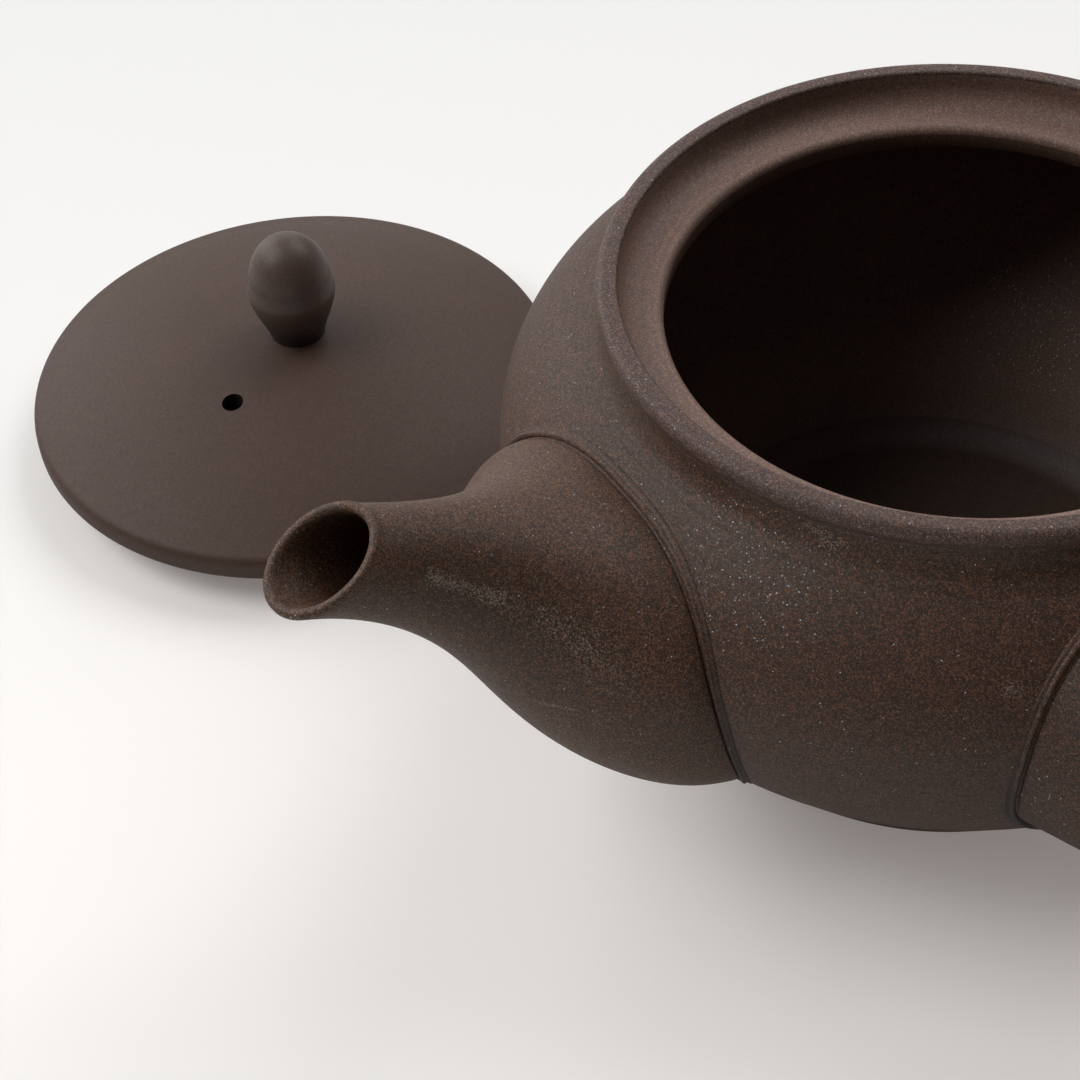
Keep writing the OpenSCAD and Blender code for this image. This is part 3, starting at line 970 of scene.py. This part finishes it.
@dataclass
class Lid:
    """The lid beside the pot: domed plate with a steam hole, flange and hand-set knob."""

    distance: float = 92.3
    direction: float = -60.0
    radius: float = 35.6
    edge_t: float = 4.2
    edge_round: float = 1.6
    dome_h: float = 7.3
    plate_t: float = 3.2
    flange_r: float = 31.2
    flange_t: float = 2.6
    flange_h: float = 4.0
    flange_edge: float = 0.5
    vent_r: float = 1.42
    vent_offset: float = 14.0
    vent_direction: float = 31.4
    knob_foot_r: float = 3.6
    knob_r: float = 5.8
    waist_h: float = 7.4
    top_h: float = 8.2
    # Where the knob's side leans to, as shares of its widening and of the waist's height
    side_leans: tuple[Pair, ...] = ((0.22, 0.34), (0.91, 0.62))
    band_h: float = 1.5  # narrow band above the widest line
    ridge: float = 0.25
    knob_offset: float = 1.4
    knob_direction: float = 165.0
    segments: int = 192
    knob_segments: int = 128

    @property
    def centre(self) -> Pair:
        """Where the lid's axis meets the table."""
        place = polar(self.distance, self.direction)
        return float(place[0]), float(place[1])

    def _dome(self) -> Pair:
        """Radius of the dome's rim and of the sphere that the dome is cut from."""
        cap = self.radius - self.edge_round
        return cap, (cap * cap + self.dome_h**2) / (2 * self.dome_h)

    def face_z(self, r: float) -> float:
        """Height of the upper face at a distance from the lid's middle."""
        sphere, top = self._dome()[1], self.flange_h + self.edge_t + self.dome_h
        return top - sphere + math.sqrt(sphere * sphere - r * r)

    def build_plate(self, finish: Material, hole_shade_finish: Material) -> Piece:
        """Makes the domed plate with its steam hole.

        Args:
            finish: the plate's own finish.
            hole_shade_finish: dark painted shade on the hole's wall.

        Returns:
            The piece.
        """
        inner = self.flange_r - self.flange_t
        cap, sphere = self._dome()
        lean = math.degrees(math.asin(cap / sphere))
        out: Profile = [(r, self.face_z(r) - self.plate_t) for r in np.linspace(0, inner - 1, 26)]
        out += [(inner - 0.4, self.flange_h + 1.6), (inner, self.flange_h + 0.02)]
        low = self.flange_h + self.edge_round
        high = self.flange_h + self.edge_t - self.edge_round
        half = (self.edge_round, self.edge_round)
        out += [(self.flange_r + 0.6, self.flange_h)]
        out += arc((cap, low), half, -90, 0, 9)
        out += arc((cap, high), half, 0, 90 - lean, 9)
        out += [(float(r), self.face_z(float(r))) for r in np.linspace(cap - 0.8, 0, 48)]
        piece = turned("lid_dome", out, self.segments, self.centre, finish, hole_shade_finish)
        shift = polar(self.vent_offset, self.vent_direction)
        hole = Vector((*self.centre, 0)) + Vector((*shift, 0))
        cut_hole(piece, hole, hole + Vector((0, 0, 20)), self.vent_r)
        # The hole's wall gets the dark painted shade
        for face in piece.data.polygons:
            away = (face.center / MM - hole).to_2d().length
            face.material_index = int(away < self.vent_r and abs(face.normal.z) < 0.3)
        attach(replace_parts(piece, "lid_plate"), "lid")
        return piece

    def build_flange(self, finish: Material) -> Piece:
        """Makes the ring under the lid that drops into the throat.

        Args:
            finish: the ring's material.

        Returns:
            The piece.
        """
        inner, edge = self.flange_r - self.flange_t, self.flange_edge
        out: Profile = arc((inner + edge, edge), (edge, edge), 180, 270, 5)
        out += arc((self.flange_r - edge, edge), (edge, edge), -90, 0, 5)
        out += [(self.flange_r, self.flange_h), (inner, self.flange_h), out[0]]
        piece = turned("lid_ring", out, self.segments, self.centre, finish)
        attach(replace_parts(piece, "lid_flange"), "lid")
        return piece

    def build_knob(self, finish: Material) -> Piece:
        """Makes the knob, its foot drawn out into the lid.

        Args:
            finish: the knob's material.

        Returns:
            The piece.
        """
        base = self.face_z(self.knob_foot_r + self.knob_offset)
        foot, r, waist = self.knob_foot_r, self.knob_r, self.waist_h
        leans = [(foot + out * (r - foot), up * waist) for out, up in self.side_leans]
        side = bezier([(foot, 0.0), *leans, (r, waist)], np.linspace(0.04, 0.96, 22))
        out: Profile = [(0, -0.3), (foot + 0.25, -0.3), (foot + 0.06, 0.05)]
        out += [(float(x), float(z)) for x, z in side]
        # The band above the widest line, then the dome set a little in
        band_top = waist + self.band_h
        out += [(r + 0.02, waist + 0.1), (r, waist + 0.3)]
        out += [(r - 0.14, band_top - 0.5), (r - 0.3, band_top)]
        dome = (r - self.ridge - 0.12, waist + self.top_h - band_top)
        out += arc((0, band_top), dome, 4, 88, 30)
        out += [(0, waist + self.top_h)]
        shift = polar(self.knob_offset, self.knob_direction)
        centre = (self.centre[0] + shift[0], self.centre[1] + shift[1])
        out = [(x, z + base) for x, z in out]
        piece = turned("hand_set_knob", out, self.knob_segments, centre, finish)
        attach(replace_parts(piece, "lid_knob"), "lid")
        return piece


@dataclass
class Fittings:
    """The pieces joined to the body: spout, handle, their beads and the strainer."""

    body: PotBody
    spout_z: float = 31.3
    spout_half_h: float = 18.7
    spout_half_w: float = 21.8
    mouth: Pair = (77.3, 59.1)
    mouth_w: float = 13.3
    mouth_slant: float = 27.6  # degrees
    rim_rise: float = 0.7  # how far the rim's roundings stand over the skin's end
    handle_z: float = 35.0
    handle_half_h: float = 16.6
    handle_half_w: float = 21.4
    handle_end: Pair = (120.0, 51.0)
    handle_end_r: float = 12.5
    handle_slope: float = 16.0  # degrees
    handle_turn: float = 85.0

    def _root(self, z: float, half_h: float) -> list[Array]:
        """Top and low point of a root on the body's side."""
        return [np.array([float(self.body.at(h)), h]) for h in (z + half_h, z - half_h)]

    def spout(self) -> Horn:
        """Draws the short spout, its mouth slanted.

        Returns:
            The spout.
        """
        z, slant, half_w = self.spout_z, self.mouth_slant, self.spout_half_w
        middle = np.array(self.mouth) - self.rim_rise * polar(1.0, 90 - slant)
        back = middle + polar(self.mouth_w / 2, 180 - slant)
        front = middle - polar(self.mouth_w / 2, 180 - slant)
        top, low = self._root(z, self.spout_half_h)
        return Horn(
            name="spout_skin", body=self.body, root_z=z, root_h=self.spout_half_h, root_w=half_w,
            top_line=[top, top + polar(2.8, 21), back - polar(21, slant), back],
            low_line=[low, low + polar(30, 16), front - polar(31, slant), front],
            half_widths=[half_w, 22.1, 3.4, 5.6], root_wall=3.0, tip_wall=1.15,
        )

    def handle(self) -> Horn:
        """Draws the hollow side handle, open at its far end.

        Returns:
            The handle.
        """
        z, slope, half_w = self.handle_z, self.handle_slope, self.handle_half_w
        half = polar(self.handle_end_r, 90 + slope)
        end_top, end_low = np.array(self.handle_end) + half, np.array(self.handle_end) - half
        top, low = self._root(z, self.handle_half_h)
        return Horn(
            name="handle_skin", body=self.body, root_z=z, root_h=self.handle_half_h,
            root_w=half_w, root_wall=3.0, tip_wall=2.6, turn=self.handle_turn, along=90,
            top_line=[top, top + polar(12, -20), end_top - polar(36, slope + 4), end_top],
            low_line=[low, low + polar(24.4, 18.3), end_low - polar(36, slope - 6), end_low],
            half_widths=[half_w, 15.6, 6.7, self.handle_end_r],
        )

    def build(
        self, spout_clay: Material, handle_clay: Material, seam: Material, groove_shadow: Material
    ) -> list[Piece]:
        """Makes every joined piece and rides it on the pot.

        Args:
            spout_clay: finish of the spout.
            handle_clay: finish of the handle and of the strainer.
            seam: finish of the beads.
            groove_shadow: painted groove shadow, dark lower down, outside the beads.

        Returns:
            The new pieces.
        """
        made = []
        for horn, clay, node, bead_node, slot in (
            (self.spout(), spout_clay, "spout", "spout_seam_bead", "spout_clay"),
            (self.handle(), handle_clay, "handle", "handle_seam_bead", "handle_clay"),
        ):
            skin = horn.build(clay)
            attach(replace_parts(skin, node), "pot")
            bead = SeamBead(f"{node}_bead", horn).build(seam, groove_shadow)
            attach(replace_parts(bead, bead_node), "pot")
            made += [skin, bead]
        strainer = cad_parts["strainer"]
        strainer.data.materials.clear()
        strainer.data.materials.append(handle_clay)
        return made


@dataclass(frozen=True)
class Lamp:
    """A soft square lamp: where it stands, seen from the pot, and its power in watts."""

    name: str
    azimuth: float  # degrees to the right of straight away from the camera
    rise: float  # degrees above the table
    power: float


@dataclass
class Studio:
    """Table, light and camera of the photograph."""

    # The camera: where it stands, which way it faces, how far it looks down, how far it rolls
    position: Triple = (131.7, 143.1, 214.85)
    facing: float = 151.3
    down: float = math.degrees(0.797)
    roll: float = math.degrees(-0.062)
    lens: float = 76.51
    sensor: float = 36.0
    target: Triple = (20.0, -20.0, 30.0)
    lamp_size: float = 1.8  # in metres, as the distance
    lamp_distance: float = 3.0
    sky: float = 0.06
    room_colour: str = "f3f2f1"
    paper_half: float = 2500.0
    lamps: tuple[Lamp, ...] = (
        Lamp("window_behind_left", 315, 22, 31.5),
        Lamp("window_behind", 0, 22, 15.5),
        Lamp("wall_right", 67, 22, 4.0),
        Lamp("high_right", 47, 50, 35.0),
        Lamp("high_left", 270, 50, 50.0),
        Lamp("ceiling", 0, 90, 3.0),
    )

    def camera(self) -> Piece:
        """Makes the scene's camera.

        Returns:
            The camera.
        """
        data = bpy.data.cameras.new("camera")
        data.sensor_width, data.lens = self.sensor, self.lens
        data.clip_start, data.clip_end = 0.01, 20
        camera = add_object("camera", data)
        place = Matrix.Translation(Vector(self.position) * MM)
        for degrees, axis in ((self.facing, "Z"), (90 - self.down, "X"), (self.roll, "Z")):
            place = place @ Matrix.Rotation(math.radians(degrees), 4, axis)
        camera.matrix_world = place
        bpy.context.scene.camera = camera
        return camera

    def table(self) -> Piece:
        """Lays the paper under the pot.

        Returns:
            The paper.
        """
        corners = np.array([(-1, -1, 0), (1, -1, 0), (1, 1, 0), (-1, 1, 0)]) * self.paper_half
        paper = mesh_piece("paper_sheet", corners, [(0, 1, 2, 3)], WhitePaper().make())
        paper.location.z = -0.02 * MM  # just under the pot's foot, so that the faces don't meet
        return paper

    def lamp(self, lamp: Lamp) -> None:
        """Stands one lamp in its place and turns it to the pot.

        Args:
            lamp: the lamp.
        """
        data = bpy.data.lights.new(lamp.name, "AREA")
        data.size, data.energy = self.lamp_size, lamp.power
        piece = add_object(lamp.name, data)
        side, height = cosine(lamp.rise), sine(lamp.rise)
        towards = Matrix.Rotation(math.radians(self.facing), 3, "Z") @ Vector(
            (side * sine(lamp.azimuth), side * cosine(lamp.azimuth), height)
        )
        piece.location = Vector(self.target) * MM + towards * self.lamp_distance
        piece.rotation_mode = "QUATERNION"
        piece.rotation_quaternion = (-towards).to_track_quat("-Z", "Y")

    def room(self) -> None:
        """Sets the world: plain weak light, and white where the camera looks past the paper."""
        world = bpy.data.worlds.new("room")
        bpy.context.scene.world = world
        add = emptied(world)
        colour = linear(self.room_colour)
        light, white = (
            add("Background", {"Color": colour, "Strength": strength})[0]
            for strength in (self.sky, 1.0)
        )
        seen = add("LightPath")["Is Camera Ray"]
        both = add("MixShader", (seen, light, white))[0]
        add("OutputWorld", {"Surface": both})

    def build(self) -> None:
        """Sets up the camera, the table, the light of the photograph's room and the view."""
        self.camera()
        self.table()
        for lamp in self.lamps:
            self.lamp(lamp)
        self.room()
        bpy.context.scene.view_settings.view_transform = "Standard"


def main() -> None:
    """Builds the teapot's pieces in order and lights them."""
    logging.basicConfig(level=logging.INFO, format="%(name)s: %(message)s")
    lid, pot = Lid(), PotBody()
    wall = UnglazedClay(
        "turned_wall", ground="472f21", turning=Turning.ROUND_THE_WALL,
        # Painted glints crowd on the shoulder where the highlight falls
        painted_glint_at=(39.0, 17.0, 50.5), painted_glint_mm=11.0,
        rubs=(
            Rub((33.8, 19.4, 55.0), (32.5, 22.0, 54.1), 1.2, 0.5, most=0.25),
            Rub((25.4, 40.2, 45.9), (24.8, 40.7, 45.6), 1.1, 0.5, most=0.3),
        ),
    ).make()
    lip = UnglazedClay("wiped_lip", ground="543f38", speck_share=0.2, grain_strength=0.8).make()
    seat = UnglazedClay(
        "smoothed_seat", ground="7b6156", speck_share=0.02, grain_strength=0.4,
        grain_depth_mm=0.008,
    ).make()
    # The inner wall: painted glints where light falls on it, and painted shade darkening its foot
    inside = UnglazedClay(
        "inner_wall", ground="5b4438", speck_share=0.0, grain_strength=0.4,
        grain_depth_mm=0.008, painted_glint_at=(-34.9, -21.9, 19.7), painted_glint_mm=12.0,
        painted_shade_tone=0.7, low_z=(6.0, 13.0),
    ).make()
    # The chamber's floor is painted dark as the shade that fills the pot's bottom
    floor = UnglazedClay(
        "floor_painted_shade", ground="3f2e25", speck_share=0.0, grain_strength=0.4,
        grain_depth_mm=0.008,
    ).make()
    # Lighter ground than the wall: painted light on the spout's lit side; the rubs are real
    # scuffs
    spout_clay = UnglazedClay(
        "scuffed_spout_painted_light", ground="4f3626",
        rubs=(
            Rub((68.3, 5.4, 55.9), (62.3, 7.5, 51.0), 1.1, 0.6, most=0.65),
            Rub((62.3, 7.5, 51.0), (55.7, 13.1, 44.8), 2.2, 0.35, most=0.25),
            Rub((57.6, 10.7, 47.2), (54.5, 14.8, 43.1), 4.2, 0.32, most=0.22),
            Rub((60.5, 9.8, 36.8), (57.6, 13.8, 37.3), 0.35, 0.3),
        ),
    ).make()
    # Darker ground than the wall: painted shade on the pot's side away from the light
    handle_clay = UnglazedClay("hand_smoothed_painted_shade", ground="412b1e", speck_share=0.12).make()
    # Painted shade: the bead darkens lower down, where it lies in shade under the root
    seam_clay = UnglazedClay("pressed_bead_painted_shade", painted_shade_tone=0.3, low_z=(27.0, 45.0)).make()
    # Painted shadow of the groove beside each bead, darkest lower down
    groove_shadow = UnglazedClay(
        "bead_painted_groove_shadow", painted_shade_tone=0.1, low_z=(30.0, 52.0), speck_share=0.0
    ).make()
    lid_clay = UnglazedClay(
        "turned_lid", ground="432c21", turning=Turning.ROUND_THE_LID,
        axis_mm=lid.centre, grain_strength=0.22, turning_depth_mm=0.003, grain_depth_mm=0.006,
        speck_share=0.0,
    ).make()
    # Lighter ground painted as the dome's sheen, and painted shade darkening the knob's foot; the
    # lower roughness is its handled polish
    knob_clay = UnglazedClay(
        "handled_knob_painted_sheen_and_shade", ground="4f3d35", roughness=0.52, grain_strength=0.22,
        grain_depth_mm=0.006, speck_share=0.0, painted_shade_tone=0.2, low_z=(17.0, 22.8),
    ).make()
    # The steam hole's wall is painted dark as the shade inside the narrow hole
    hole_shade_clay = UnglazedClay(
        "hole_painted_shade", ground="1c120d", grain_strength=0.2, speck_share=0.0
    ).make()
    pieces = [pot.build(wall, lip, seat, inside, floor)]
    pieces += Fittings(pot).build(spout_clay, handle_clay, seam_clay, groove_shadow)
    pieces.append(lid.build_plate(lid_clay, hole_shade_clay))
    pieces += [lid.build_flange(lid_clay), lid.build_knob(knob_clay)]
    for piece in pieces:
        LOG.info("%s: %d faces", piece.name, len(piece.data.polygons))
    Studio().build()


if __name__ == "__main__":
    main()
